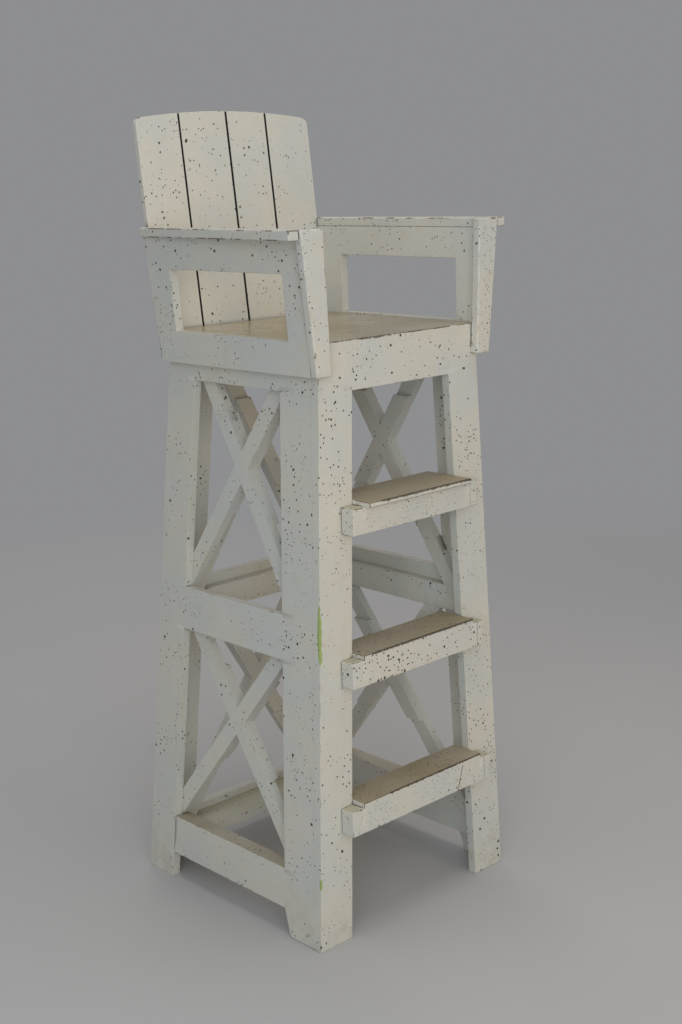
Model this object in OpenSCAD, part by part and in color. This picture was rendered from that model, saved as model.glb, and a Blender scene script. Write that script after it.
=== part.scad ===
// Tall wooden lifeguard chair: a tapering tower of four cornered legs, braced on
// three sides and stepped on the fourth, that carries a seat box with flaring
// arms and a leaning back of four boards.
// Millimetres. +Z is up, the steps face -Y, and the origin is on the floor
// under the middle of the whole chair, from the lowest step to the rear feet.

/* [Tower] */
// Width of the tower across the feet
tower_w = 554; // [530:2:664]
// Depth of the tower across the feet
tower_d = 572; // [550:2:640]
// Height of the seat's top above the floor
seat_h = 1215; // [1015:5:1260]
// Angle at which the left and right sides lean in
side_lean = 2.77; // [2.2:0.05:3]
// Angle at which the front leans in
front_lean = 0.62; // [0:0.05:1]
// Angle at which the rear leans in
rear_lean = 5.22; // [4.8:0.05:5.4]

/* [Timber] */
// Thickness of the framing boards
board_t = 19; // [18:0.5:20]
// Thickness of the thin boards: treads, back boards and brace facings
thin_t = 10; // [8:0.5:11]
// Clearance left where two boards meet a little out of square
joint_gap = 0.15; // [0.1:0.05:0.3]

/* [Legs] */
// Width of the board on the front of each front leg
front_leg_w = 87; // [76:1:90]
// Width of the board on the side of each front leg
front_leg_side_w = 91; // [80:1:92]
// Width of the board on the side of each rear leg
rear_leg_side_w = 84; // [76:1:90]
// Width of the board on the rear of each rear leg
rear_leg_w = 86; // [76:1:90]
// Amount by which each front leg's side board narrows at its foot
foot_taper = 17; // [5:1:22]

/* [Rails] */
// Width of the top rails and of the apron
top_rail_w = 78; // [60:1:90]
// Height of the middle of the mid rails
mid_rail_z = 631; // [600:1:660]
// Width of the side mid rails
mid_rail_w = 93; // [90:1:100]
// Width of the cleats behind the mid rails
cleat_w = 56; // [50:1:70]
// Height of the cleats' underside above the mid rails' underside
cleat_up = 5; // [2:1:12]
// Distance by which the rear mid rail stops below the side ones
rear_mid_drop = 11; // [0:1:14]
// Height of the underside of the bottom rails
bottom_rail_z = 59; // [50:1:75]
// Width of the side bottom rails
bottom_rail_w = 87; // [80:1:90]
// Width of the rear bottom rail
rear_bottom_w = 58; // [45:1:64]
// Width of the flat board inside the rear bottom rail
ledge_w = 88; // [80:1:90]

/* [Braces] */
// Width of each diagonal brace
brace_w = 35; // [30:1:40]
// Distance from a leg to the middle of a brace's top end
brace_top_in = 25; // [20:1:30]
// Length of a brace's end behind the top rail
brace_end = 40; // [25:1:50]
// Height of the thicker middle of each cross
facing_h = 210; // [160:5:230]

/* [Steps] */
// Height of the lowest step's box
first_step_z = 288; // [270:1:292]
// Distance from one step to the next
step_rise = 304.8; // [290:0.2:307]
// Height of each step's box
step_box_h = 53; // [40:1:60]
// Distance by which each step's box stands out from the legs
step_out = 33; // [28:1:40]
// Distance by which each step's box overlaps each leg
step_lap = 31; // [26:1:40]
// Distance by which the lowest tread runs back behind the front of the legs
tread_back = 43; // [38:1:48]
// Extra distance by which each higher tread runs back
tread_back_more = 15; // [8:1:20]
// Distance by which the top tread overhangs its box
top_tread_over = 15; // [0:1:20]

/* [Arms] */
// Distance by which the arm frames reach down past the seat's top
arm_drop = 62; // [50:1:90]
// Height of the arm frame's top above its underside
arm_h = 253; // [235:1:270]
// Angle at which the arm frames flare out
arm_flare = 2.5; // [2:0.1:3.2]
// Height of the top of the arm's lower band above its underside
arm_band_h = 65.5; // [62:0.5:72]
// Height of the window in each arm frame
window_h = 124; // [110:1:132]
// Distance from the arm's front to the window
window_in = 56.5; // [50:0.5:70]
// Distance from the window to the arm's rear
window_rear_in = 64; // [50:1:80]
// Angle at which the window's two ends lean back
window_lean = 2.6; // [0:0.1:4]
// Thickness of the arm caps
cap_t = 18.5; // [17:0.5:20]
// Distance by which the cap stops behind the post's front
cap_front_in = 4; // [0:0.5:6]
// Distance by which the cap overhangs at its front
cap_over_front = 45; // [36:1:50]
// Distance by which the cap overhangs at its rear
cap_over_rear = 8; // [4:1:14]

/* [Arm posts] */
// Width of each post at its foot
post_foot_w = 38; // [34:1:44]
// Width of each post at its top
post_top_w = 57; // [50:1:60]
// Distance by which each post stands out past the arm frame, at its foot
post_foot_out = 0.6; // [0:0.1:4]
// Distance by which each post stands out past the arm frame, at its top
post_top_out = 18.8; // [10:0.1:24]

/* [Back] */
// Distance from the outside of an arm frame's foot in to the edge of the back
back_in = 5.4; // [0:0.1:10]
// Height of the back's foot above the arm frames' foot
back_foot_up = 8; // [4:1:14]
// Height of the back's middle above the seat
back_h = 441; // [400:1:460]
// Rise of the arch along the back's top
back_arch = 15; // [8:1:24]
// Radius of the back's two top corners
back_corner_r = 14; // [8:1:20]
// Angle at which the back leans
back_lean = 6.5; // [6:0.1:7]
// Gap between two back boards
back_gap = 4.5; // [3:0.5:6]
// Width of the left outer back board
back_left_w = 109.5; // [80:0.5:130]
// Width of the right outer back board
back_right_w = 119.5; // [80:0.5:130]
// Distance of the middle gap from the centre
back_mid_x = 4; // [-20:1:20]

/* [Hidden] */
$fn = 64;
arch_fn = 360;
big = 2000;
// Extra length of a blank that is then cut off level
over = 30;
last_step = 2;
// Farthest reach of the steps in front of the tower's foot
step_reach = joint_gap + step_out + max(
    -(step_z(0) - step_box_h) * tan(front_lean),
    top_tread_over - (step_z(last_step) - step_box_h) * tan(front_lean)
);
front_foot_y = (step_reach - tower_d) / 2;
rear_foot_y = (step_reach + tower_d) / 2;
seat_t = board_t;
seat_z = seat_h - seat_t;
top_rail_z = seat_z - top_rail_w;
mid_rail_top = mid_rail_z + mid_rail_w / 2;
mid_rail_bottom = mid_rail_z - mid_rail_w / 2;
cleat_bottom = mid_rail_bottom + cleat_up;
cleat_top = cleat_bottom + cleat_w;
bottom_rail_top = bottom_rail_z + bottom_rail_w;
rear_bottom_top = bottom_rail_z + rear_bottom_w;
ledge_top = rear_bottom_top - board_t - joint_gap;
arm_foot_z = seat_h - arm_drop;
arm_half_w = side_x(arm_foot_z) + joint_gap + level_t(board_t, arm_flare);
arm_top_z = arm_foot_z + arm_h;
cap_top_z = arm_top_z + cap_t;
post_back_y = front_y(arm_foot_z) - joint_gap;
post_front_y = post_back_y - board_t;
post_foot_x = arm_half_w + post_foot_out;
post_top_x = arm_x(cap_top_z) + post_top_out;
back_foot_z = arm_foot_z + back_foot_up;
back_w = 2 * (arm_half_w - back_in);

// Outside of the tower at height z, from the centre
function side_x(z) = tower_w / 2 - z * tan(side_lean);
function front_y(z) = front_foot_y + z * tan(front_lean);
function rear_y(z) = rear_foot_y - z * tan(rear_lean);

// Depth that a board of thickness t takes up level, in a plane that leans
function level_t(t, lean) = t / cos(lean);

// Where the open bays of the sides and of the rear begin and end
function side_bay_front(z) = front_y(z) + level_t(board_t, front_lean) + joint_gap + front_leg_side_w;
function side_bay_rear(z) = rear_y(z) - rear_leg_side_w;
function rear_bay_half(z) = side_x(z) - level_t(board_t, side_lean) - joint_gap - rear_leg_w;

// Front face of the back at height z
function back_y(z) = rear_y(back_foot_z) + joint_gap + (z - back_foot_z) * tan(back_lean);

// A board in the left side's plane: outline in [y, z], depth counted inwards
module side_board(outline, depth, thick) {
    translate([-tower_w / 2, 0, 0])
    rotate([0, side_lean, 0])
    translate([depth, 0, 0])
    rotate([90, 0, 90])
    linear_extrude(thick)
    polygon([for (p = outline) [p[0], p[1] / cos(side_lean)]]);
}

// A board in the front's plane: outline in [x, z], depth counted inwards
module front_board(outline, depth, thick) {
    translate([0, front_foot_y, 0])
    rotate([-front_lean, 0, 0])
    translate([0, depth + thick, 0])
    rotate([90, 0, 0])
    linear_extrude(thick)
    polygon([for (p = outline) [p[0], p[1] / cos(front_lean)]]);
}

// A board in the rear's plane: outline in [x, z], depth counted inwards
module rear_board(outline, depth, thick) {
    translate([0, rear_foot_y, 0])
    rotate([rear_lean, 0, 0])
    translate([0, -depth, 0])
    rotate([90, 0, 0])
    linear_extrude(thick)
    polygon([for (p = outline) [p[0], p[1] / cos(rear_lean)]]);
}

// Cuts its children off level, at two heights
module level_cut(z0, z1) {
    intersection() {
        children();
        translate([-big / 2, -big / 2, z0])
        cube([big, big, z1 - z0]);
    }
}

// Makes the right-hand piece from the left-hand one
module on_right() {
    mirror([1, 0, 0])
    children();
}

// Legs: each is two boards nailed into a corner
module front_leg_face() {
    low = -over;
    high = seat_z + over;
    color("ivory")
    level_cut(0, seat_z)
    front_board([
        [-side_x(low), low],
        [-side_x(low) + front_leg_w, low],
        [-side_x(high) + front_leg_w, high],
        [-side_x(high), high]
    ], 0, board_t);
}

module front_leg_side() {
    high = seat_z + over;
    color("ivory")
    level_cut(0, seat_z)
    side_board([
        [side_bay_front(-over) - front_leg_side_w, -over],
        [side_bay_front(-over) - foot_taper, -over],
        [side_bay_front(0) - foot_taper, 0],
        [side_bay_front(bottom_rail_z), bottom_rail_z],
        [side_bay_front(high), high],
        [side_bay_front(high) - front_leg_side_w, high]
    ], 0, board_t);
}

module rear_leg_side() {
    low = -over;
    high = seat_z + over;
    color("ivory")
    level_cut(0, seat_z)
    side_board([
        [side_bay_rear(low), low],
        [rear_y(low), low],
        [rear_y(high), high],
        [side_bay_rear(high), high]
    ], 0, board_t);
}

module rear_leg_back() {
    low = -over;
    high = seat_z + over;
    color("ivory")
    level_cut(0, seat_z)
    rear_board([
        [-rear_bay_half(low) - rear_leg_w, low],
        [-rear_bay_half(low), low],
        [-rear_bay_half(high), high],
        [-rear_bay_half(high) - rear_leg_w, high]
    ], 0, board_t);
}

// Rails of the sides
module side_rail(z0, z1) {
    color("ivory")
    level_cut(0, seat_z)
    side_board([
        [side_bay_front(z0), z0],
        [side_bay_rear(z0), z0],
        [side_bay_rear(z1), z1],
        [side_bay_front(z1), z1]
    ], 0, board_t);
}

// Boards on the inside of the sides run from the front leg's face to the rear leg's back
function inner_front(z) = front_y(z) + level_t(board_t, front_lean) + joint_gap;
function inner_rear(z) = rear_y(z) - level_t(board_t, rear_lean) - 2 * joint_gap;

module side_inner_outline(z0, z1, depth) {
    side_board([
        [inner_front(z0), z0],
        [inner_rear(z0), z0],
        [inner_rear(z1), z1],
        [inner_front(z1), z1]
    ], depth, board_t);
}

module side_cleat() {
    color("ivory")
    side_inner_outline(cleat_bottom, cleat_top, board_t);
}

module side_bottom_rail() {
    color("ivory")
    union() {
        side_rail(bottom_rail_z, bottom_rail_top);
        side_inner_outline(bottom_rail_z, bottom_rail_top, board_t);
    }
}

// Rails of the rear
module rear_rail(z0, z1) {
    color("ivory")
    level_cut(0, seat_z)
    rear_board([
        [-rear_bay_half(z0), z0],
        [rear_bay_half(z0), z0],
        [rear_bay_half(z1), z1],
        [-rear_bay_half(z1), z1]
    ], 0, board_t);
}

// Half the clear width between the boards inside the two sides
function inner_half(z) = side_x(z) - level_t(2 * board_t, side_lean) - 2 * joint_gap;

module rear_mid_cleat() {
    color("ivory")
    rear_board([
        [-inner_half(cleat_bottom), cleat_bottom],
        [inner_half(cleat_bottom), cleat_bottom],
        [inner_half(cleat_top), cleat_top],
        [-inner_half(cleat_top), cleat_top]
    ], board_t, board_t);
}

module rear_ledge() {
    rear_edge = inner_rear(ledge_top);
    half = inner_half(ledge_top);
    color("tan")
    translate([-half, rear_edge - ledge_w, ledge_top - board_t])
    cube([2 * half, ledge_w, board_t]);
}

// A brace's middle line passes through its top end and lies half a width off the
// corner between the leg and the rail below it. Points are [across, height], and
// the slope is the distance across for each step up.
function brace_slope(top, corner) =
    let (across = corner[0] - top[0],
         turn = asin(brace_w / 2 / norm(corner - top)))
    -tan(atan2(across, top[1] - corner[1]) + sign(across) * turn);

// Height at which the two braces of a cross meet
function cross_z(tops, corners) =
    let (slope_0 = brace_slope(tops[0], corners[1]),
         slope_1 = brace_slope(tops[1], corners[0]))
    (tops[1][0] - tops[0][0] + slope_0 * tops[0][1] - slope_1 * tops[1][1])
        / (slope_0 - slope_1);

// One brace, cut off level at z0 and z1
module brace_band(top, slope, z0, z1) {
    half = brace_w / 2 * sqrt(1 + slope * slope);
    x0 = top[0] + (z0 - top[1]) * slope;
    x1 = top[0] + (z1 - top[1]) * slope;
    polygon([[x0 - half, z0], [x0 + half, z0], [x1 + half, z1], [x1 - half, z1]]);
}

// Both braces, kept clear of the boards at the two ends of their bay: ends holds
// the bay's two sides at the height z0 and then at z1
module cross_outline(tops, corners, ends, z0, z1) {
    intersection() {
        union() {
            brace_band(tops[0], brace_slope(tops[0], corners[1]), z0, z1);
            brace_band(tops[1], brace_slope(tops[1], corners[0]), z0, z1);
        }
        polygon([[ends[0], z0], [ends[1], z0], [ends[3], z1], [ends[2], z1]]);
    }
}

// The cross of a side's bay from z0 to z1, with braces whose ends reach end_0 and end_1
module side_cross(z0, z1, end_0, end_1) {
    up = 1 / cos(side_lean);
    corners = [[side_bay_front(z0), z0 * up], [side_bay_rear(z0), z0 * up]];
    tops = [[side_bay_front(z1) + brace_top_in, z1 * up],
            [side_bay_rear(z1) - brace_top_in, z1 * up]];
    deep = level_t(board_t + thin_t, rear_lean);
    middle = cross_z(tops, corners);
    facing_0 = middle - facing_h / 2;
    facing_1 = middle + facing_h / 2;
    ends = [inner_front(end_0), inner_rear(end_0), inner_front(end_1), inner_rear(end_1)];
    facing_ends = [inner_front(facing_0), inner_rear(facing_0) - deep,
                   inner_front(facing_1), inner_rear(facing_1) - deep];
    color("ivory")
    translate([-tower_w / 2, 0, 0])
    rotate([0, side_lean, 0])
    union() {
        translate([board_t, 0, 0])
        rotate([90, 0, 90])
        linear_extrude(board_t)
        cross_outline(tops, corners, ends, end_0 * up, end_1 * up);
        translate([2 * board_t, 0, 0])
        rotate([90, 0, 90])
        linear_extrude(thin_t)
        cross_outline(tops, corners, facing_ends, facing_0, facing_1);
    }
}

module rear_cross(z0, z1, end_0, end_1) {
    up = 1 / cos(rear_lean);
    corners = [[-rear_bay_half(z0), z0 * up], [rear_bay_half(z0), z0 * up]];
    tops = [[-rear_bay_half(z1) + brace_top_in, z1 * up],
            [rear_bay_half(z1) - brace_top_in, z1 * up]];
    deep = level_t(thin_t, side_lean);
    middle = cross_z(tops, corners);
    facing_0 = middle - facing_h / 2;
    facing_1 = middle + facing_h / 2;
    ends = [-inner_half(end_0), inner_half(end_0), -inner_half(end_1), inner_half(end_1)];
    facing_ends = [deep - inner_half(facing_0), inner_half(facing_0) - deep,
                   deep - inner_half(facing_1), inner_half(facing_1) - deep];
    color("ivory")
    translate([0, rear_foot_y, 0])
    rotate([rear_lean, 0, 0])
    union() {
        translate([0, -board_t, 0])
        rotate([90, 0, 0])
        linear_extrude(board_t)
        cross_outline(tops, corners, ends, end_0 * up, end_1 * up);
        translate([0, -2 * board_t, 0])
        rotate([90, 0, 0])
        linear_extrude(thin_t)
        cross_outline(tops, corners, facing_ends, facing_0, facing_1);
    }
}

module upper_side_cross() {
    side_cross(mid_rail_top, top_rail_z, cleat_top + joint_gap, top_rail_z + brace_end);
}

module lower_side_cross() {
    side_cross(bottom_rail_top, mid_rail_bottom, bottom_rail_top + joint_gap, cleat_bottom - joint_gap);
}

module upper_rear_cross() {
    rear_cross(mid_rail_top, top_rail_z, cleat_top + joint_gap, top_rail_z + brace_end);
}

module lower_rear_cross() {
    foot_z = ledge_top + 2 * board_t * tan(rear_lean) + joint_gap;
    rear_cross(rear_bottom_top, mid_rail_bottom, foot_z, cleat_bottom - joint_gap);
}

// Steps: a board across the front legs on a block at each end, with a thin tread
// on top that runs back between the legs
function step_z(i) = first_step_z + step_rise * i;
function step_half(z) = side_x(z) - front_leg_w + step_lap;

module step_box(i) {
    z1 = step_z(i);
    z0 = z1 - step_box_h;
    half = step_half(z1);
    legs = front_y(z0) - joint_gap;
    out = step_out;
    color("ivory")
    difference() {
        translate([-half, legs - out, z0])
        cube([2 * half, out, step_box_h]);
        translate([-half + step_lap, legs - out + board_t, z0 - over])
        cube([2 * (half - step_lap), out, step_box_h + 2 * over]);
    }
}

module tread(i) {
    z0 = step_z(i);
    half = side_x(z0 + thin_t) - front_leg_w - joint_gap;
    nosing = i == last_step ? top_tread_over : 0;
    front = front_y(z0 - step_box_h) - joint_gap - step_out - nosing;
    rear = front_y(z0) + tread_back + tread_back_more * i;
    color("tan")
    translate([-half, front, z0])
    cube([2 * half, rear - front, thin_t]);
}

// Seat box
module apron() {
    high = seat_z + over;
    half0 = side_x(top_rail_z) - front_leg_w;
    half1 = side_x(high) - front_leg_w;
    color("ivory")
    level_cut(0, seat_z)
    front_board([
        [-half0, top_rail_z],
        [half0, top_rail_z],
        [half1, high],
        [-half1, high]
    ], 0, board_t);
}

module seat() {
    half = arm_x(seat_z) - level_t(board_t, arm_flare) - joint_gap;
    front = front_y(seat_z);
    rear = back_y(seat_z) - joint_gap;
    color("tan")
    translate([-half, front, seat_z])
    cube([2 * half, rear - front, seat_t]);
}

// Arms
function arm_x(z) = arm_half_w + (z - arm_foot_z) * tan(arm_flare);

module arm_frame() {
    z0 = arm_foot_z;
    z1 = arm_top_z;
    front = post_back_y + joint_gap;
    window_z = z0 + arm_band_h;
    window_front = front + window_in;
    window_rear = back_y(window_z) - window_rear_in;
    lean_d = window_h * tan(window_lean);
    color("ivory")
    difference() {
        translate([-arm_half_w, 0, z0])
        rotate([0, -arm_flare, 0])
        rotate([90, 0, 90])
        linear_extrude(board_t)
        difference() {
            polygon([
                [front, 0],
                [back_y(z0) - joint_gap, 0],
                [back_y(z1 + over) - joint_gap, (z1 + over - z0) / cos(arm_flare)],
                [front, (z1 + over - z0) / cos(arm_flare)]
            ]);
            translate([0, arm_band_h / cos(arm_flare)])
            polygon([
                [window_front, 0],
                [window_rear, 0],
                [window_rear + lean_d, window_h],
                [window_front + lean_d, window_h]
            ]);
        }
        translate([-big / 2, -big / 2, z1])
        cube([big, big, big]);
    }
}

module arm_post() {
    z0 = arm_foot_z;
    z1 = cap_top_z;
    color("ivory")
    translate([0, post_back_y, 0])
    rotate([90, 0, 0])
    linear_extrude(board_t)
    polygon([
        [-post_foot_x, z0],
        [-post_foot_x + post_foot_w, z0],
        [-post_top_x + post_top_w, z1],
        [-post_top_x, z1]
    ]);
}

module arm_cap() {
    inner = arm_x(arm_top_z) - level_t(board_t, arm_flare);
    outer = arm_x(arm_top_z);
    rear = back_y(arm_top_z) - joint_gap;
    front = post_front_y + cap_front_in;
    color("ivory")
    translate([0, 0, arm_top_z])
    linear_extrude(cap_t)
    polygon([
        [-inner, rear],
        [-outer - cap_over_rear, rear],
        [-outer - cap_over_front, front],
        [-post_top_x - joint_gap, front],
        [-post_top_x - joint_gap, post_back_y + joint_gap],
        [-inner, post_back_y + joint_gap]
    ]);
}

// Back: four boards cut to one arched outline
module back_outline() {
    foot = (back_foot_z - seat_h) / cos(back_lean);
    side_top = back_h / cos(back_lean) - back_arch;
    arch_r = (back_w * back_w / 4 + back_arch * back_arch) / (2 * back_arch);
    r = back_corner_r;
    intersection() {
        translate([-back_w / 2, foot])
        square([back_w, side_top + back_arch - foot]);
        translate([0, side_top + back_arch - arch_r])
        circle(r = arch_r, $fn = arch_fn);
        union() {
            translate([-back_w / 2, foot])
            square([back_w, side_top - r - foot]);
            translate([-back_w / 2 + r, foot])
            square([back_w - 2 * r, side_top + back_arch - foot]);
            for (s = [-1, 1])
                translate([s * (back_w / 2 - r), side_top - r])
                circle(r = r);
        }
    }
}

module back_board(i) {
    starts = [
        -back_w / 2,
        -back_w / 2 + back_left_w + back_gap,
        back_mid_x + back_gap / 2,
        back_w / 2 - back_right_w,
        back_w / 2 + back_gap
    ];
    x0 = starts[i];
    x1 = starts[i + 1] - back_gap;
    color("ivory")
    translate([0, back_y(seat_h), seat_h])
    rotate([-back_lean, 0, 0])
    translate([0, thin_t, 0])
    rotate([90, 0, 0])
    linear_extrude(thin_t)
    intersection() {
        back_outline();
        translate([x0, -big / 2])
        square([x1 - x0, big]);
    }
}

front_leg_face();  // left_front_leg_face
front_leg_side();  // left_front_leg_side
on_right() front_leg_face();  // right_front_leg_face
on_right() front_leg_side();  // right_front_leg_side
rear_leg_side();  // left_rear_leg_side
rear_leg_back();  // left_rear_leg_back
on_right() rear_leg_side();  // right_rear_leg_side
on_right() rear_leg_back();  // right_rear_leg_back
side_rail(top_rail_z, seat_z + over);  // left_top_rail
side_rail(mid_rail_bottom, mid_rail_top);  // left_mid_rail
side_cleat();  // left_mid_cleat
side_bottom_rail();  // left_bottom_rail
on_right() side_rail(top_rail_z, seat_z + over);  // right_top_rail
on_right() side_rail(mid_rail_bottom, mid_rail_top);  // right_mid_rail
on_right() side_cleat();  // right_mid_cleat
on_right() side_bottom_rail();  // right_bottom_rail
rear_rail(top_rail_z, seat_z + over);  // rear_top_rail
rear_rail(mid_rail_bottom, mid_rail_top - rear_mid_drop);  // rear_mid_rail
rear_mid_cleat();
rear_rail(bottom_rail_z, rear_bottom_top);  // rear_bottom_rail
rear_ledge();
upper_side_cross();  // left_upper_cross
lower_side_cross();  // left_lower_cross
on_right() upper_side_cross();  // right_upper_cross
on_right() lower_side_cross();  // right_lower_cross
upper_rear_cross();  // rear_upper_cross
lower_rear_cross();  // rear_lower_cross
step_box(0);  // step_box_1
step_box(1);  // step_box_2
step_box(2);  // step_box_3
tread(0);  // tread_1
tread(1);  // tread_2
tread(2);  // tread_3
apron();
seat();
arm_frame();  // left_arm_frame
on_right() arm_frame();  // right_arm_frame
arm_post();  // left_arm_post
on_right() arm_post();  // right_arm_post
arm_cap();  // left_arm_cap
on_right() arm_cap();  // right_arm_cap
back_board(0);  // back_board_1
back_board(1);  // back_board_2
back_board(2);  // back_board_3
back_board(3);  // back_board_4
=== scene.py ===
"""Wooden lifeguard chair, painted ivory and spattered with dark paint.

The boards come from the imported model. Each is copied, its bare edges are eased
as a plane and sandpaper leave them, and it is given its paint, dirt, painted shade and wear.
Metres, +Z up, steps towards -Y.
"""

import math

import bmesh
import bpy
from mathutils import Euler, Matrix, Vector, noise
from mathutils.bvhtree import BVHTree


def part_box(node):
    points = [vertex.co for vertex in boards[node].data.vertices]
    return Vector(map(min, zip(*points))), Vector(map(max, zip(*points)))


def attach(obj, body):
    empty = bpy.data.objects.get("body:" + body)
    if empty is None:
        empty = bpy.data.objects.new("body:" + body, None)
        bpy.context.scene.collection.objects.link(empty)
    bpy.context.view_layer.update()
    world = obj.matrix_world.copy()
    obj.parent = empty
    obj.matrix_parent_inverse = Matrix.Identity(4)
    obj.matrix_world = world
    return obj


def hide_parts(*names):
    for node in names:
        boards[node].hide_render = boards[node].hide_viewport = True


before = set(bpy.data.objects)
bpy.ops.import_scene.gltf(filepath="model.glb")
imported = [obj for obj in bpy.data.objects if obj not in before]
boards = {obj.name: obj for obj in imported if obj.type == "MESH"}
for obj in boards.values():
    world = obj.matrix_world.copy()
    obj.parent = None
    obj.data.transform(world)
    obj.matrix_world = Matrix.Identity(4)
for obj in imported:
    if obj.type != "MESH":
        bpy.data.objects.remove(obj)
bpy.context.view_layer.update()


# ---------------------------------------------------------------- legs
# Each leg is two softwood boards, 19 mm thick, nailed into a corner. They are
# planed, painted ivory with a brush, and spattered with dark paint all over.
# An edge that meets a neighbour stays square, and every bare edge is eased.

MM = 0.001
LEG_BOARD = 19 * MM
LEG_EASE = 2.8 * MM

# Boards no farther apart than this touch
TOUCHING = 0.4 * MM

board_faces = []
board_points = []
face_owner = []
for name, board in boards.items():
    first = len(board_points)
    board_points += [board.matrix_world @ v.co for v in board.data.vertices]
    for face in board.data.polygons:
        board_faces.append([first + i for i in face.vertices])
        face_owner.append(name)
all_boards = BVHTree.FromPolygons(board_points, board_faces)


def meets_neighbour(name, place):
    """True where another board touches this one."""
    near = all_boards.find_nearest_range(place, TOUCHING)
    return any(face_owner[found[2]] != name for found in near)


# Stations along a board's longest side, and along its other two
LONG_STATION = 13 * MM
SHORT_STATION = 40 * MM
ON_THE_CUT = 0.05 * MM


def cut_stations(stock, low, high):
    """Cuts a board's edges into short lengths, so that they can wear unevenly."""
    size = high - low
    for axis in range(3):
        station = LONG_STATION if size[axis] == max(size) else SHORT_STATION
        cuts = int(size[axis] / station)
        across = Vector([1.0 if i == axis else 0.0 for i in range(3)])
        for cut in range(1, cuts):
            bmesh.ops.bisect_plane(
                stock, geom=stock.verts[:] + stock.edges[:] + stock.faces[:],
                plane_co=across * (low[axis] + size[axis] * cut / cuts),
                plane_no=across, dist=ON_THE_CUT)


# Rubbed stretches come in two sizes, and chips have a pattern of their own
RUBS_PER_METRE = 55.0
FINE_RUBS_PER_METRE = 190.0
FINE_RUB_SHARE = 0.4
RUB_DEPTH = 0.35 * MM
KNOCKS_PER_METRE = 38.0
KNOCKS_FROM = Vector((7.3, 1.9, 4.1))
KNOCKS_ABOVE = 0.30
KNOCKS_DEEPEN = 4.0


def wear_down(stock, points, chip, deepest):
    """Rubs eased edges unevenly, and knocks chips out of them here and there."""
    stock.normal_update()
    for point in points:
        coarse = noise.noise(point.co * RUBS_PER_METRE)
        fine = noise.noise(point.co * FINE_RUBS_PER_METRE)
        rubbed = max(0.0, coarse + FINE_RUB_SHARE * fine)
        knocked = noise.noise(point.co * KNOCKS_PER_METRE + KNOCKS_FROM) - KNOCKS_ABOVE
        knocked = min(1.0, KNOCKS_DEEPEN * max(0.0, knocked))
        point.co -= point.normal * min(deepest, RUB_DEPTH * rubbed + chip * knocked)


SAME_POINT = 0.01 * MM
FLAT = math.radians(0.5)
SHARP_TURN = math.radians(20)
SHADED_SHARP = math.radians(40)
ROUNDING = 3
SMALL_CHIPS = 0.5 * MM


def dress_board(name, ease, finish, chip=SMALL_CHIPS):
    """Copies a board, eases its bare edges and paints it."""
    stock = bmesh.new()
    stock.from_mesh(boards[name].data)
    edge_mark = stock.faces.layers.float.new("eased_edge")
    bmesh.ops.remove_doubles(stock, verts=stock.verts, dist=SAME_POINT)
    bmesh.ops.dissolve_limit(stock, angle_limit=FLAT, verts=stock.verts, edges=stock.edges)
    cut_stations(stock, *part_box(name))
    bare = [
        edge for edge in stock.edges
        if edge.is_manifold and edge.is_convex
        and edge.calc_face_angle() > SHARP_TURN
        and not meets_neighbour(name, (edge.verts[0].co + edge.verts[1].co) / 2)
    ]
    eased = bmesh.ops.bevel(
        stock, geom=bare, offset=ease, segments=ROUNDING, profile=0.5,
        affect="EDGES", clamp_overlap=True, material=-1)
    for face in eased["faces"]:
        face[edge_mark] = 1.0
    crest = [
        point for point in eased["verts"] if all(face[edge_mark] for face in point.link_faces)]
    wear_down(stock, crest, chip, 0.5 * ease)
    mesh = bpy.data.meshes.new(name + "_painted")
    stock.to_mesh(mesh)
    stock.free()
    mesh.shade_smooth()
    mesh.set_sharp_from_angle(angle=SHADED_SHARP)
    piece = bpy.data.objects.new(name + "_painted", mesh)
    bpy.context.collection.objects.link(piece)
    even = piece.modifiers.new("even_shading", "WEIGHTED_NORMAL")
    even.keep_sharp = True
    mesh.materials.append(finish)
    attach(piece, "root")
    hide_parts(name)


def put(tree, kind, sockets=None, **settings):
    """Adds a shader node; each socket gets a value or the output that feeds it."""
    made = tree.nodes.new(kind)
    for key, value in settings.items():
        setattr(made, key, value)
    for key, value in (sockets or {}).items():
        if isinstance(value, bpy.types.NodeSocket):
            tree.links.new(value, made.inputs[key])
        else:
            made.inputs[key].default_value = value
    return made


def reckon(tree, operation, first, second=0.0, third=0.0):
    """One step of arithmetic with numbers."""
    made = put(tree, "ShaderNodeMath", {0: first, 1: second, 2: third}, operation=operation)
    return made.outputs[0]


def reckon_place(tree, operation, sockets):
    """One step of arithmetic with places."""
    made = put(tree, "ShaderNodeVectorMath", sockets, operation=operation)
    return made.outputs["Value" if operation in ("LENGTH", "DOT_PRODUCT") else "Vector"]


def add_up(tree, total, shares):
    """Adds things to a total, each with its own weight."""
    for value, weight in shares:
        total = reckon(tree, "MULTIPLY_ADD", value, weight, total)
    return total


def part_of(tree, vector, axis):
    """The X, Y or Z of a place or of a direction."""
    return put(tree, "ShaderNodeSeparateXYZ", {"Vector": vector}).outputs[axis]


def fade(tree, value, start, end):
    """0 at start, 1 at end, smooth between them."""
    made = put(
        tree, "ShaderNodeMapRange",
        {"Value": value, "From Min": start, "From Max": end},
        interpolation_type="SMOOTHSTEP")
    return made.outputs["Result"]


def lay_over(tree, amount, under, over):
    """One coat of colour over another."""
    made = put(tree, "ShaderNodeMix", {0: amount}, data_type="RGBA")
    for socket, colour in ((made.inputs[6], under), (made.inputs[7], over)):
        if isinstance(colour, bpy.types.NodeSocket):
            tree.links.new(colour, socket)
        else:
            socket.default_value = (*colour, 1.0)
    return made.outputs[2]


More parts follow.
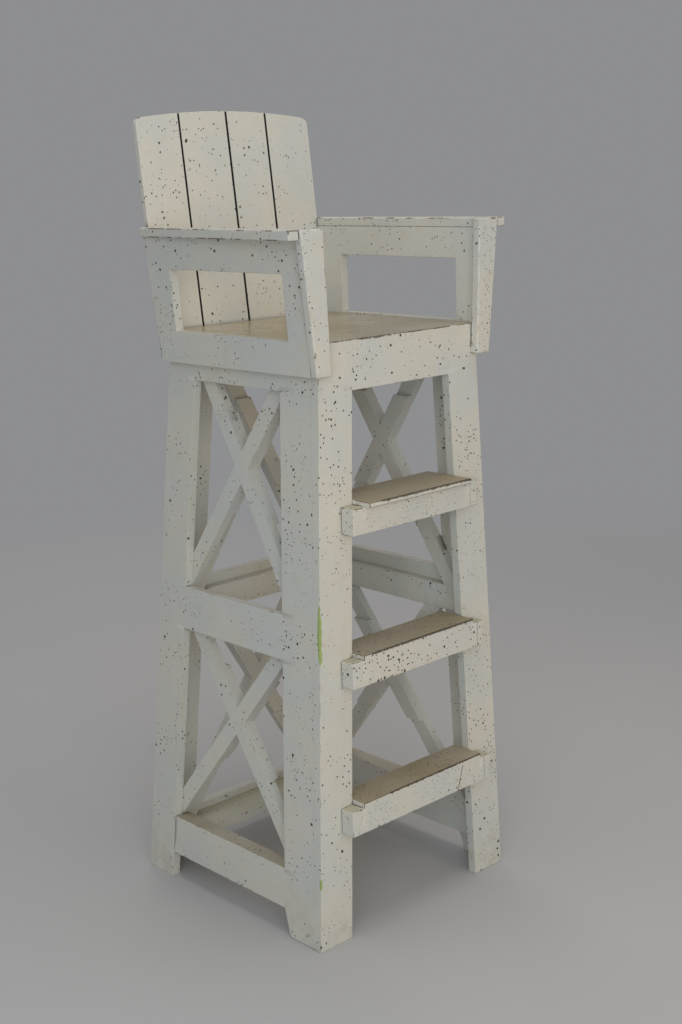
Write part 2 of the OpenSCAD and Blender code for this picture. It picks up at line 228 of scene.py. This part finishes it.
def thinly_over(tree, amount, most, under, over):
    """A coat that never covers more than its greatest share."""
    return lay_over(tree, reckon(tree, "MULTIPLY", amount, most), under, over)


def cloud(tree, place, per_metre, detail=2.0):
    """Soft blotches, so many to a metre."""
    made = put(
        tree, "ShaderNodeTexNoise",
        {"Vector": place, "Scale": per_metre, "Detail": detail, "Roughness": 0.55})
    return made.outputs["Fac"]


IVORY = (0.655, 0.620, 0.540)
IVORY_COOL = (0.600, 0.598, 0.555)
COOL_PATCHES = (0.38, 0.66)
IVORY_YELLOW = (0.610, 0.530, 0.370)
YELLOW_PATCHES = (0.52, 0.80)
YELLOW_AT_MOST = 0.35
BRUSH_LINES = (0.480, 0.435, 0.350)
LINED = (0.50, 0.75)
LINES_AT_MOST = 0.16


def brush_on(tree, mottle, fine_mottle, grain):
    """Ivory in cooler and yellower patches, with the lines that the brush left."""
    colour = lay_over(tree, fade(tree, mottle, *COOL_PATCHES), IVORY, IVORY_COOL)
    yellow = fade(tree, fine_mottle, *YELLOW_PATCHES)
    colour = thinly_over(tree, yellow, YELLOW_AT_MOST, colour, IVORY_YELLOW)
    return thinly_over(tree, fade(tree, grain, *LINED), LINES_AT_MOST, colour, BRUSH_LINES)


# Faces that point up are darkened, for dust and for painted shade
FACING_UP = (0.75, 0.98)
PATCHY = (0.30, 0.70)
PATCHES_AT_LEAST = 0.80
PATCHES_VARY = 0.25


def darken_upward_faces(tree, colour, facing, mottle, top_darkening, dust_and_shade_colour):
    """Patchy darkening on everything that faces up, for dust and painted shade."""
    upward = fade(tree, part_of(tree, facing, "Z"), *FACING_UP)
    patchy = reckon(
        tree, "MULTIPLY_ADD", fade(tree, mottle, *PATCHY), PATCHES_VARY, PATCHES_AT_LEAST)
    darkened = reckon(tree, "MULTIPLY", reckon(tree, "MULTIPLY", upward, top_darkening), patchy)
    return lay_over(tree, darkened, colour, dust_and_shade_colour)


# Dust, and painted shade on the tops of boards
DUST_AND_SHADE = (0.330, 0.285, 0.190)
SPLASHES_PER_METRE = 26.0
SPLASHED = (0.35, 0.75)
# Heights above the floor at which splashes end, and at which they are thickest
SPLASH_HEIGHTS = (160 * MM, 0.0)


def splash_foot(tree, colour, place, grime):
    """Blots of dirt splashed up from the floor."""
    low_down = fade(tree, part_of(tree, place, "Z"), *SPLASH_HEIGHTS)
    blots = fade(tree, cloud(tree, place, SPLASHES_PER_METRE, 4.0), *SPLASHED)
    splashed = reckon(tree, "MULTIPLY", reckon(tree, "MULTIPLY", low_down, grime), blots)
    return lay_over(tree, splashed, colour, DUST_AND_SHADE)


BARE_WOOD = (0.120, 0.070, 0.034)
BARE_PER_METRE = 22.0
# The levels between which blotches turn bare, with no wear and with full wear
BARE_UNWORN = Vector((0.72, 0.76))
BARE_WORN = Vector((0.38, 0.46))
BARE_AT_MOST = 0.85
SCUFFS_PER_METRE = 60.0
SCUFFED = (0.45, 0.70)
SCUFFS_AT_MOST = 0.30


def wear_edges(tree, colour, place, wear):
    """Eased edges worn to the wood in places and scuffed in others."""
    edge = put(tree, "ShaderNodeAttribute", attribute_name="eased_edge").outputs["Fac"]
    patches = cloud(tree, place, BARE_PER_METRE, 4.0)
    worn = reckon(
        tree, "MULTIPLY", edge, fade(tree, patches, *BARE_UNWORN.lerp(BARE_WORN, wear)))
    colour = thinly_over(tree, worn, BARE_AT_MOST, colour, BARE_WOOD)
    scuffs = fade(tree, cloud(tree, place, SCUFFS_PER_METRE), *SCUFFED)
    scuffed = reckon(tree, "MULTIPLY", edge, scuffs)
    return thinly_over(tree, scuffed, SCUFFS_AT_MOST, colour, DUST_AND_SHADE), worn


GREEN_UNDERCOAT = (0.350, 0.440, 0.150)
CHIP_RIMS_PER_METRE = 110.0
CHIP_RAGGED = 1.3
CHIP_RIM = (1.62, 1.50)


def chip_paint(tree, colour, place, chips):
    """Ragged ovals where the undercoat shows, each with its place and its size."""
    for where, size in chips:
        from_middle = reckon_place(tree, "SUBTRACT", {0: place, 1: where})
        scaled = reckon_place(tree, "DIVIDE", {0: from_middle, 1: size})
        rim = cloud(tree, place, CHIP_RIMS_PER_METRE, 4.0)
        ragged = reckon(
            tree, "MULTIPLY_ADD", rim, CHIP_RAGGED, reckon_place(tree, "LENGTH", {0: scaled}))
        colour = lay_over(tree, fade(tree, ragged, *CHIP_RIM), colour, GREEN_UNDERCOAT)
    return colour


# Dark brown for dirt, and for painted shade in crevices and joints
DIRT_AND_CREVICE_SHADE = (0.075, 0.056, 0.034)
CREVICE_AT_MOST = 0.92
# Black painted on board sides deep in a gap, as painted shade
GAP_BLACK = (0.012, 0.010, 0.008)
GAP_FACES_SIDEWAYS = (0.15, 0.50)
GAP_SHELTERED = (0.95, 0.80)


def darken_hollows(tree, colour, facing, hollow, black_gaps):
    """Painted shade and dirt in the crevices, and black painted shade in gaps between boards that
    stand side by side.
    """
    reach, shallow, deep = hollow
    # Darker where ambient occlusion finds shelter: painted shade, with some dirt
    shelter = put(
        tree, "ShaderNodeAmbientOcclusion", {"Distance": reach}, samples=6).outputs["AO"]
    crevice = reckon(tree, "MULTIPLY", fade(tree, shelter, shallow, deep), CREVICE_AT_MOST)
    colour = lay_over(tree, crevice, colour, DIRT_AND_CREVICE_SHADE)
    # Sides that face a neighbour deep in a gap are painted black, as painted shade
    if black_gaps:
        sideways = reckon(tree, "ABSOLUTE", part_of(tree, facing, "X"))
        sideways = fade(tree, sideways, *GAP_FACES_SIDEWAYS)
        filled = reckon(tree, "MULTIPLY", sideways, fade(tree, shelter, *GAP_SHELTERED))
        colour = lay_over(tree, filled, colour, GAP_BLACK)
    return colour, crevice


SPATTER = (0.022, 0.019, 0.016)
SPATTER_AT_MOST = 0.95
# How many could fall to a metre, the largest one's radius, and the share that falls
SMALL_DROPS = (130.0, 2.2 * MM, 0.60)
LARGE_DROPS = (72.0, 3.4 * MM, 0.32)
MIST_DROPS = (210.0, 1.3 * MM, 1.0)
RIMS_PER_METRE = 420.0
RIM_RAGGED = 1.4 * MM
SOFT_RIM = 0.25 * MM
CROWDS_PER_METRE = 9.0
CROWDED = (0.36, 0.66)
CROWD_SHARE = 1.5
STRAY_SHARE = 0.35
MOSTLY_SMALL = 2.5
SMALLEST = 0.5


def spatter(tree, place, amount, per_metre, largest, share):
    """Round drops of paint flicked from a brush, in crowds and strays."""
    jog = put(tree, "ShaderNodeTexNoise", {"Vector": place, "Scale": RIMS_PER_METRE, "Detail": 1.0})
    shift = reckon_place(tree, "SCALE", {0: jog.outputs["Color"], 3: RIM_RAGGED})
    moved = reckon_place(tree, "ADD", {0: place, 1: shift})
    drops = put(
        tree, "ShaderNodeTexVoronoi",
        {"Vector": moved, "Scale": per_metre, "Randomness": 1.0})
    lot = put(tree, "ShaderNodeSeparateColor", {"Color": drops.outputs["Color"]})
    crowd = fade(tree, cloud(tree, place, CROWDS_PER_METRE), *CROWDED)
    falling = amount * share
    wanted = reckon(
        tree, "MULTIPLY_ADD", crowd, CROWD_SHARE * falling, STRAY_SHARE * falling)
    fallen = reckon(tree, "LESS_THAN", lot.outputs["Red"], wanted)
    drawn = reckon(tree, "POWER", lot.outputs["Green"], MOSTLY_SMALL)
    size = reckon(tree, "MULTIPLY_ADD", drawn, 1.0 - SMALLEST, SMALLEST)
    size = reckon(tree, "MULTIPLY", size, fallen)
    radius = reckon(tree, "MULTIPLY", size, largest * per_metre)
    inside = reckon(tree, "SUBTRACT", radius, drops.outputs["Distance"])
    return fade(tree, inside, 0.0, SOFT_RIM * per_metre)


def flick_paint(tree, colour, place, drops, mist):
    """Dark drops in two sizes, and a fine mist of them on some boards."""
    small = spatter(tree, place, drops, *SMALL_DROPS)
    large = spatter(tree, place, drops, *LARGE_DROPS)
    drop = reckon(tree, "MAXIMUM", small, large)
    if mist:
        drop = reckon(tree, "MAXIMUM", drop, spatter(tree, place, mist, *MIST_DROPS))
    return thinly_over(tree, drop, SPATTER_AT_MOST, colour, SPATTER), drop


# In widths of the line: how far it wanders, and where its rim fades
WANDERS_PER_METRE = 160.0
WANDERS_BY = 1.6
LINE_RIM = (1.7, 1.1)


def hairline(tree, place, start, end, width):
    """A fine line along the surface, such as a crack, a joint or a scratch."""
    run = Vector(end) - Vector(start)
    from_start = reckon_place(tree, "SUBTRACT", {0: place, 1: start})
    share = reckon_place(tree, "DOT_PRODUCT", {0: from_start, 1: run / run.length_squared})
    held = put(tree, "ShaderNodeClamp", {"Value": share}).outputs[0]
    nearest = reckon_place(tree, "SCALE", {0: run, 3: held})
    apart = reckon_place(tree, "SUBTRACT", {0: from_start, 1: nearest})
    wander = cloud(tree, place, WANDERS_PER_METRE, 3.0)
    away = reckon(
        tree, "MULTIPLY_ADD", wander, WANDERS_BY * width, reckon_place(tree, "LENGTH", {0: apart}))
    return fade(tree, away, *(rim * width for rim in LINE_RIM))


def draw_lines(tree, colour, place, hairlines):
    """Dirt along lines, each with its start, end, width and strength."""
    cut = 0.0
    for start, end, width, strength in hairlines:
        line = reckon(tree, "MULTIPLY", hairline(tree, place, start, end, width), strength)
        colour = lay_over(tree, line, colour, DIRT_AND_CREVICE_SHADE)
        cut = reckon(tree, "MAXIMUM", cut, line)
    return colour, cut


# How the brush lines lie on a board that stands, spans or runs front to back
LINES_RUN = {"up": (1, 1, 0.07), "across": (0.07, 1, 1), "along": (1, 0.07, 1), "both": (1, 1, 1)}
GRAIN_PER_METRE = 260.0
BRUSHING_PER_METRE = 620.0
MOTTLE_PER_METRE = 5.0
FINE_MOTTLE_PER_METRE = 34.0
# How far a hollow is felt, and the light left in it where painted shade and dirt start and are
# thickest
HOLLOW = (6 * MM, 0.50, 0.18)
RELIEF = 0.5 * MM
RELIEF_STRENGTH = 0.5


def ivory_paint(name, run, drops, top_darkening, wear, top=DUST_AND_SHADE, rough=0.42, hollow=HOLLOW, mist=0.0,
                foot_grime=0.0, chips=(), hairlines=(), black_gaps=False):
    """Old ivory paint on a board whose length runs up, across or along."""
    paint = bpy.data.materials.new(name)
    paint.use_nodes = True
    tree = paint.node_tree
    tree.nodes.clear()
    place = put(tree, "ShaderNodeTexCoord").outputs["Object"]
    facing = put(tree, "ShaderNodeNewGeometry").outputs["Normal"]
    drawn_out = put(
        tree, "ShaderNodeMapping", {"Vector": place, "Scale": LINES_RUN[run]}).outputs[0]
    grain = cloud(tree, drawn_out, GRAIN_PER_METRE, 4.0)
    brushing = cloud(tree, drawn_out, BRUSHING_PER_METRE)
    mottle = cloud(tree, place, MOTTLE_PER_METRE, 3.0)
    fine_mottle = cloud(tree, place, FINE_MOTTLE_PER_METRE, 3.0)

    colour = brush_on(tree, mottle, fine_mottle, grain)
    colour = darken_upward_faces(tree, colour, facing, mottle, top_darkening, top)
    if foot_grime:
        colour = splash_foot(tree, colour, place, foot_grime)
    colour, worn = wear_edges(tree, colour, place, wear)
    colour = chip_paint(tree, colour, place, chips)
    colour, crevice = darken_hollows(tree, colour, facing, hollow, black_gaps)
    colour, drop = flick_paint(tree, colour, place, drops, mist)
    colour, cut = draw_lines(tree, colour, place, hairlines)

    roughness = add_up(tree, rough, ((mottle, 0.16), (worn, 0.30), (crevice, 0.30)))
    height = add_up(tree, 0.0, (
        (grain, 0.35), (brushing, 0.12), (fine_mottle, 0.80), (drop, 0.35),
        (worn, -0.70), (cut, -1.0)))
    bump = put(
        tree, "ShaderNodeBump",
        {"Height": height, "Strength": RELIEF_STRENGTH, "Distance": RELIEF})
    coat = put(
        tree, "ShaderNodeBsdfPrincipled",
        {"Base Color": colour, "Roughness": roughness, "Normal": bump.outputs[0]})
    put(tree, "ShaderNodeOutputMaterial", {"Surface": coat.outputs[0]})
    return paint


leg_paint = ivory_paint("leg_paint", "up", drops=0.75, top_darkening=0.5, wear=0.3, foot_grime=0.3)
rear_leg_paint = ivory_paint(
    "rear_leg_paint", "up", drops=0.6, top_darkening=0.5, wear=0.3, foot_grime=0.3)

# The near front corner is chipped high up and near the floor, down to a green
# undercoat. Each chip has a height above the floor and a size.
FRONT_SLOPE = 0.011
CHIPS = ((665 * MM, (5.5 * MM, 7.5 * MM, 62 * MM)),
         (616 * MM, (7.0 * MM, 4.0 * MM, 22 * MM)),
         (145 * MM, (4.5 * MM, 4.5 * MM, 14 * MM)))
# A scratch curves down beside it. Each of its points has a height, and a
# distance back from the corner.
SCRATCH = ((473.5 * MM, 46.9 * MM), (445.0 * MM, 20.6 * MM), (426.1 * MM, 11.1 * MM))
SCRATCH_WIDTH = 0.5 * MM
SCRATCH_STRENGTH = 0.7
NEAR_LEG_DROPS = {"face": 0.55, "side": 1.0}

corner_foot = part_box("left_front_leg_face")[0]
side_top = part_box("left_front_leg_side")[1]
side_slope = (side_top.x - LEG_BOARD - corner_foot.x) / side_top.z


def on_corner(height, back=0.0):
    """A place at the left front leg's outer corner, or straight back from it."""
    return Vector((
        corner_foot.x + side_slope * height, corner_foot.y + FRONT_SLOPE * height + back, height))


chips = [(on_corner(height), size) for height, size in CHIPS]
scratch = [
    (on_corner(*start), on_corner(*end), SCRATCH_WIDTH, SCRATCH_STRENGTH)
    for start, end in zip(SCRATCH, SCRATCH[1:])]
for part, drops in NEAR_LEG_DROPS.items():
    chipped_paint = ivory_paint(
        f"chipped_leg_{part}_paint", "up", drops=drops, top_darkening=0.5, wear=0.35, foot_grime=0.3,
        chips=chips, hairlines=scratch)
    dress_board(f"left_front_leg_{part}", LEG_EASE, chipped_paint)
for part in ("face", "side"):
    dress_board(f"right_front_leg_{part}", LEG_EASE, leg_paint)
for side in ("left", "right"):
    for part in ("side", "back"):
        dress_board(f"{side}_rear_leg_{part}", LEG_EASE, rear_leg_paint)


# ---------------------------------------------------------------- rails
# The rails are boards let in flush between the legs, the middle ones with a cleat
# behind. Their top edges are darkened for dust and painted shade, most on the lowest two.

RAIL_EASE = 1.2 * MM
LEDGE_TOP = (0.420, 0.390, 0.270)
TIGHT_HOLLOW = (3 * MM, 0.35, 0.10)

side_rail_paint = ivory_paint("side_rail_paint", "along", drops=0.28, top_darkening=0.35, wear=0.3)
rear_rail_paint = ivory_paint("rear_rail_paint", "across", drops=0.4, top_darkening=0.35, wear=0.3)
low_rail_paint = ivory_paint(
    "low_rail_paint", "along", drops=0.6, top_darkening=1.0, wear=0.4, hollow=TIGHT_HOLLOW)
ledge_paint = ivory_paint("ledge_paint", "across", drops=0.3, top_darkening=0.9, wear=0.4, top=LEDGE_TOP)

for side in ("left", "right"):
    for rail in ("top_rail", "mid_rail", "mid_cleat"):
        dress_board(f"{side}_{rail}", RAIL_EASE, side_rail_paint)
    dress_board(f"{side}_bottom_rail", RAIL_EASE, low_rail_paint)
for rail in ("top_rail", "mid_rail", "mid_cleat", "bottom_rail"):
    dress_board(f"rear_{rail}", RAIL_EASE, rear_rail_paint)
dress_board("rear_ledge", RAIL_EASE, ledge_paint)


# ---------------------------------------------------------------- crossed braces
# Two strips of wood are halved into each other behind every bay, with short
# facing strips glued over the joint on the inside.

BRACE_EASE = 1.4 * MM

brace_paint = ivory_paint("brace_paint", "both", drops=0.4, top_darkening=0.4, wear=0.35)

for bay in ("left", "right", "rear"):
    for level in ("upper", "lower"):
        dress_board(f"{bay}_{level}_cross", BRACE_EASE, brace_paint)


# ---------------------------------------------------------------- steps
# Every step is a board across the front legs on two end blocks, with a thin
# tread on top. The treads' tops are darkened to tan, for wear by feet and painted shade,
# the blocks' tops to olive for dust and painted shade, the treads' front edges are bared,
# and the lowest board is cracked near its right end.

STEP_EASE = 1.6 * MM
STEP_CHIPS = 0.8 * MM
STEP_DROPS = {1: 1.1, 2: 2.6, 3: 1.9}
STEP_MIST = {1: 0.3, 2: 1.0, 3: 0.8}
BLOCK_TOP = (0.430, 0.400, 0.240)
END_BLOCK = 20 * MM
# How far the crack's two ends lie right of the middle
CRACK_FOOT = 102 * MM
CRACK_TOP = 118 * MM
# Width and strength of each line
BLOCK_JOINT = (0.8 * MM, 0.75)
BOARD_END = (1.1 * MM, 0.9)
CRACK = (1.5 * MM, 1.0)


def line_up(box, foot_x, top_x, line):
    """A line up the front of a step's board."""
    low, high = box
    return (foot_x, low.y, low.z), (top_x, low.y, high.z), *line


for number in (1, 2, 3):
    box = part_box(f"step_box_{number}")
    end_x = box[1].x
    block_x = end_x - END_BLOCK
    lines = [line_up(box, block_x, block_x, BLOCK_JOINT), line_up(box, end_x, end_x, BOARD_END)]
    if number == 1:
        lines.append(line_up(box, CRACK_FOOT, CRACK_TOP, CRACK))
    step_paint = ivory_paint(
        f"step_paint_{number}", "across", drops=STEP_DROPS[number], top_darkening=0.75, wear=0.5,
        hairlines=lines, top=BLOCK_TOP, mist=STEP_MIST[number])
    dress_board(f"step_box_{number}", STEP_EASE, step_paint, chip=STEP_CHIPS)

TREAD_EASE = 1.4 * MM
TREAD_CHIPS = 1.2 * MM
TREAD_DROPS = {1: 0.8, 2: 1.5, 3: 0.35}
TREAD_MIST = {1: 0.5, 2: 0.7, 3: 0.0}
TREAD_TAN = (0.345, 0.275, 0.165)
# The front edge is bare from this share of its length to its right end
BARE_FROM = {1: 0.22, 2: 0.08, 3: 0.12}
BARE_WIDTH = {1: 4.2 * MM, 2: 5.5 * MM, 3: 5.5 * MM}
BARE_STRENGTH = 0.95

for number in (1, 2, 3):
    low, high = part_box(f"tread_{number}")
    bare_x = low.x + BARE_FROM[number] * (high.x - low.x)
    bare_edge = (
        (bare_x, low.y, high.z), (high.x, low.y, high.z), BARE_WIDTH[number], BARE_STRENGTH)
    tread_paint = ivory_paint(
        f"tread_paint_{number}", "across", drops=TREAD_DROPS[number], top_darkening=1.0, wear=1.0,
        hairlines=[bare_edge], top=TREAD_TAN, rough=0.36, mist=TREAD_MIST[number])
    dress_board(f"tread_{number}", TREAD_EASE, tread_paint, chip=TREAD_CHIPS)


# ---------------------------------------------------------------- seat
# The seat is one wide board on the legs, closed in front by an apron. It is
# worn smooth and shiny, its top is darkened to tan for yellowed paint and
# painted shade, and its front edge is bare in patches.

SEAT_EASE = 1.8 * MM
SEAT_CHIPS = 0.9 * MM
SEAT_TAN = (0.275, 0.218, 0.115)
# Where each bare patch starts and ends as a share of the edge, and how wide it is
SAT_AWAY = ((0.10, 0.28, 3.0 * MM), (0.26, 0.44, 5.0 * MM),
            (0.46, 0.64, 3.4 * MM), (0.72, 0.82, 3.0 * MM))
SAT_AWAY_STRENGTH = 0.9

apron_paint = ivory_paint("apron_paint", "across", drops=1.3, top_darkening=0.6, wear=0.5)
dress_board("apron", RAIL_EASE, apron_paint, chip=SEAT_CHIPS)

seat_low, seat_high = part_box("seat")
seat_width = seat_high.x - seat_low.x
sat_away = [
    ((seat_low.x + start * seat_width, seat_low.y, seat_high.z),
     (seat_low.x + end * seat_width, seat_low.y, seat_high.z), wide, SAT_AWAY_STRENGTH)
    for start, end, wide in SAT_AWAY]
seat_paint = ivory_paint(
    "seat_paint", "along", drops=0.12, top_darkening=0.95, wear=0.6, rough=0.19, top=SEAT_TAN,
    hairlines=sat_away)
dress_board("seat", SEAT_EASE, seat_paint, chip=SEAT_CHIPS)


# ---------------------------------------------------------------- arms
# An arm is a board with a window cut in it, a tapering post on its front end
# and a cap on its top edge. The caps are chipped where hands have held them,
# and the joint under each cap shows as a fine line inside the arm.

ARM_EASE = 1.8 * MM
ARM_DROPS = {"left": 0.95, "right": 0.4}
POST_EASE = 3.6 * MM
POST_DROPS = {"left": 0.65, "right": 1.7}
CAP_EASE = 2.2 * MM
CAP_CHIPS = 1.2 * MM
CAP_JOINT = (1.3 * MM, 0.7)

for side in ("left", "right"):
    low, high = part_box(f"{side}_arm_cap")
    inner_x = high.x if side == "left" else low.x
    cap_joint = ((inner_x, low.y, low.z), (inner_x, high.y, low.z), *CAP_JOINT)
    cap_paint = ivory_paint(
        f"{side}_cap_paint", "along", drops=0.5, top_darkening=0.3, wear=0.75, hairlines=[cap_joint])
    arm_paint = ivory_paint(
        f"{side}_arm_paint", "along", drops=ARM_DROPS[side], top_darkening=0.5, wear=0.3,
        hairlines=[cap_joint])
    post_paint = ivory_paint(
        f"{side}_post_paint", "up", drops=POST_DROPS[side], top_darkening=0.5, wear=0.25)
    dress_board(f"{side}_arm_frame", ARM_EASE, arm_paint)
    dress_board(f"{side}_arm_post", POST_EASE, post_paint)
    dress_board(f"{side}_arm_cap", CAP_EASE, cap_paint, chip=CAP_CHIPS)


# ---------------------------------------------------------------- back
# Four thin boards stand side by side with open gaps between them, cut to one
# arch along the top and rounded at the two corners. Their sides deep in the gaps
# are painted black as painted shade, and painted shade with dirt darkens the crevices.

BACK_EASE = 1.1 * MM
WIDE_HOLLOW = (16 * MM, 0.70, 0.35)

back_paint = ivory_paint(
    "back_paint", "up", drops=0.55, top_darkening=0.4, wear=0.25, hollow=WIDE_HOLLOW, black_gaps=True)

for number in (1, 2, 3, 4):
    dress_board(f"back_board_{number}", BACK_EASE, back_paint)


# ---------------------------------------------------------------- studio
# A pale floor, lit near the chair and melting into a plain pale background all
# round. A large soft lamp stands in front to the left, a warm one straight in
# front, a faint one behind and one overhead.

FLOOR_RADIUS = 30.0
FLOOR_SIDES = 64
FLOOR_PALE = (0.500, 0.488, 0.482)
FLOOR_MATT = 0.9
FLOOR_SHINE = 0.1
FLOOR_FADES = (1.2, 4.0)
BACKGROUND = (0.270, 0.272, 0.280)

CHAIR_MIDDLE = (0.0, 0.0, 0.9)
# Name, place, side in metres, watts and colour of each lamp
LAMPS = (
    ("key", (-2.45, -2.65, 1.8), 2.8, 59.0, (0.82, 0.925, 1.0)),
    ("warm_front", (0.2, -4.1, 1.4), 2.0, 28.0, (1.0, 0.80, 0.54)),
    ("behind", (1.8, 3.6, 2.2), 2.4, 24.0, (1.0, 0.98, 0.95)),
    ("overhead", (0.0, -0.4, 4.2), 2.4, 46.0, (1.0, 1.0, 1.0)),
)

CAMERA_PLACE = (-2.0494, -2.2454, 1.5256)
CAMERA_TURN = 0.7554
CAMERA_TILT = -0.229
CAMERA_ROLL = -0.0305
CAMERA_LENS = 77.3
CAMERA_SENSOR = 36.0

disc = bmesh.new()
bmesh.ops.create_circle(disc, cap_ends=True, segments=FLOOR_SIDES, radius=FLOOR_RADIUS)
floor_mesh = bpy.data.meshes.new("floor")
disc.to_mesh(floor_mesh)
disc.free()
floor = bpy.data.objects.new("floor", floor_mesh)
bpy.context.collection.objects.link(floor)

floor_paint = bpy.data.materials.new("pale_floor")
floor_paint.use_nodes = True
tree = floor_paint.node_tree
near = tree.nodes["Principled BSDF"]
near.inputs["Base Color"].default_value = (*FLOOR_PALE, 1.0)
near.inputs["Roughness"].default_value = FLOOR_MATT
near.inputs["Specular IOR Level"].default_value = FLOOR_SHINE
far = put(tree, "ShaderNodeEmission", {"Color": (*BACKGROUND, 1.0), "Strength": 1.0})
ray = put(tree, "ShaderNodeLightPath").outputs
seen = reckon(tree, "MAXIMUM", ray["Is Camera Ray"], ray["Is Glossy Ray"])
seen = reckon(tree, "MAXIMUM", seen, ray["Is Transmission Ray"])
reach = reckon_place(tree, "LENGTH", {0: put(tree, "ShaderNodeTexCoord").outputs["Object"]})
melted = reckon(tree, "MULTIPLY", seen, fade(tree, reach, *FLOOR_FADES))
mixed = put(
    tree, "ShaderNodeMixShader", {0: melted, 1: near.outputs[0], 2: far.outputs[0]})
tree.links.new(mixed.outputs[0], tree.nodes["Material Output"].inputs["Surface"])
floor_mesh.materials.append(floor_paint)

for name, place, size, watts, colour in LAMPS:
    lamp = bpy.data.lights.new(name, "AREA")
    lamp.shape = "SQUARE"
    lamp.size = size
    lamp.energy = watts
    lamp.color = colour
    holder = bpy.data.objects.new(name, lamp)
    holder.location = place
    to_chair = Vector(CHAIR_MIDDLE) - Vector(place)
    holder.rotation_euler = to_chair.to_track_quat("-Z", "Y").to_euler()
    bpy.context.collection.objects.link(holder)

world = bpy.data.worlds.new("studio")
world.use_nodes = True
sky = world.node_tree.nodes["Background"]
sky.inputs["Color"].default_value = (*BACKGROUND, 1.0)
sky.inputs["Strength"].default_value = 1.0
bpy.context.scene.world = world

camera_data = bpy.data.cameras.new("camera")
camera_data.sensor_fit = "HORIZONTAL"
camera_data.sensor_width = CAMERA_SENSOR
camera_data.lens = CAMERA_LENS
camera = bpy.data.objects.new("camera", camera_data)
camera.location = CAMERA_PLACE
view = Euler((math.pi / 2 + CAMERA_TILT, 0.0, -CAMERA_TURN)).to_matrix()
camera.rotation_euler = (view @ Matrix.Rotation(CAMERA_ROLL, 3, "Z")).to_euler()
bpy.context.collection.objects.link(camera)
bpy.context.scene.camera = camera
bpy.context.scene.view_settings.view_transform = "Standard"
